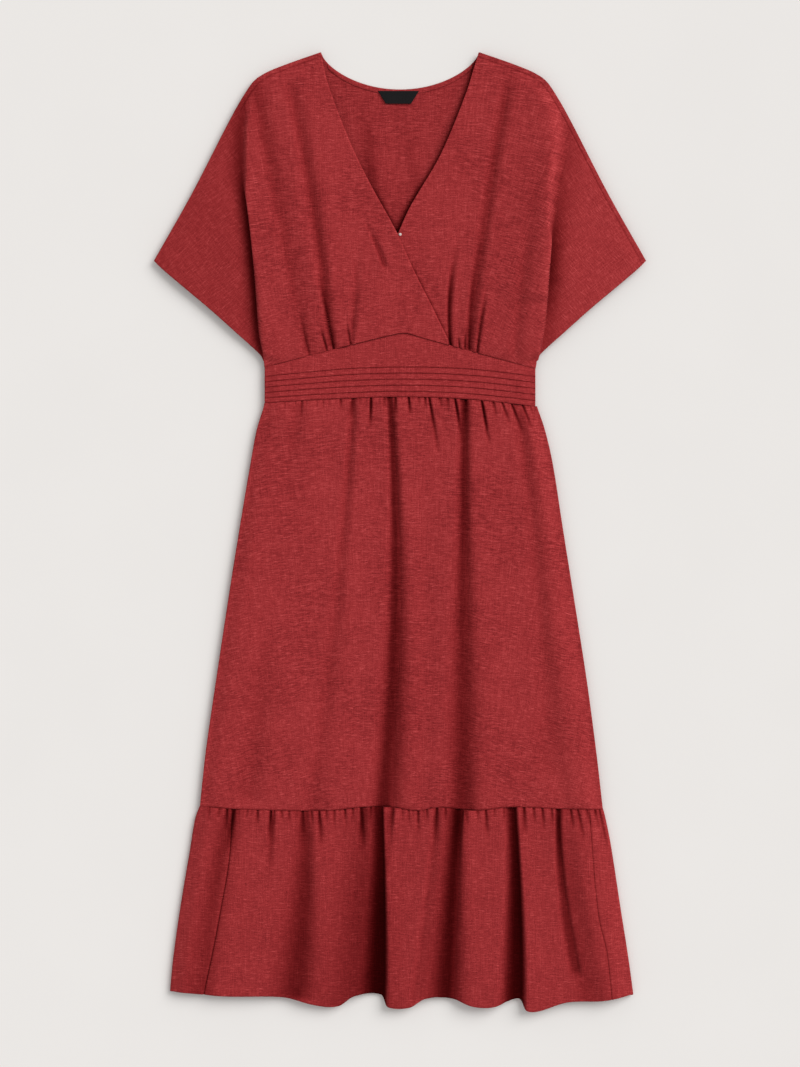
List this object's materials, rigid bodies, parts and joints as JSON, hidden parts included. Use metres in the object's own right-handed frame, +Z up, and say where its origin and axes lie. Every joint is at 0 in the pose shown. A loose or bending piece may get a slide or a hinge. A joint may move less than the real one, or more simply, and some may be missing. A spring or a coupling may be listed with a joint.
{
  "type": "wrap dress",
  "caption": "Midi wrap dress laid flat: V neck, short kimono sleeves cut in one with the bodice, pintucked midriff, gathered skirt and gathered hem ruffle",
  "frame": {"origin": "middle of the laid garment's box, on the surface it lies on", "axes": "+Y runs up the garment to the neck, +X is the viewer's right, which is the wearer's left, and +Z is up, out of the front"},
  "size_m": [0.626, 1.22, 0.018],
  "materials": {
    "cloth": "matte slubbed linen-look plain weave, brick red",
    "label": "black woven satin ribbon, bare",
    "stud": "pearl"
  },
  "bodies": {
    "root": {"bodice_front_right": "cloth", "bodice_front_left": "cloth", "bodice_back": "cloth", "neck_facing": "cloth", "neck_label": "label", "midriff_front": "cloth", "midriff_back": "cloth", "skirt_front": "cloth", "skirt_back": "cloth", "ruffle_front": "cloth", "ruffle_back": "cloth", "snap": "stud"}
  },
  "joints": []
}
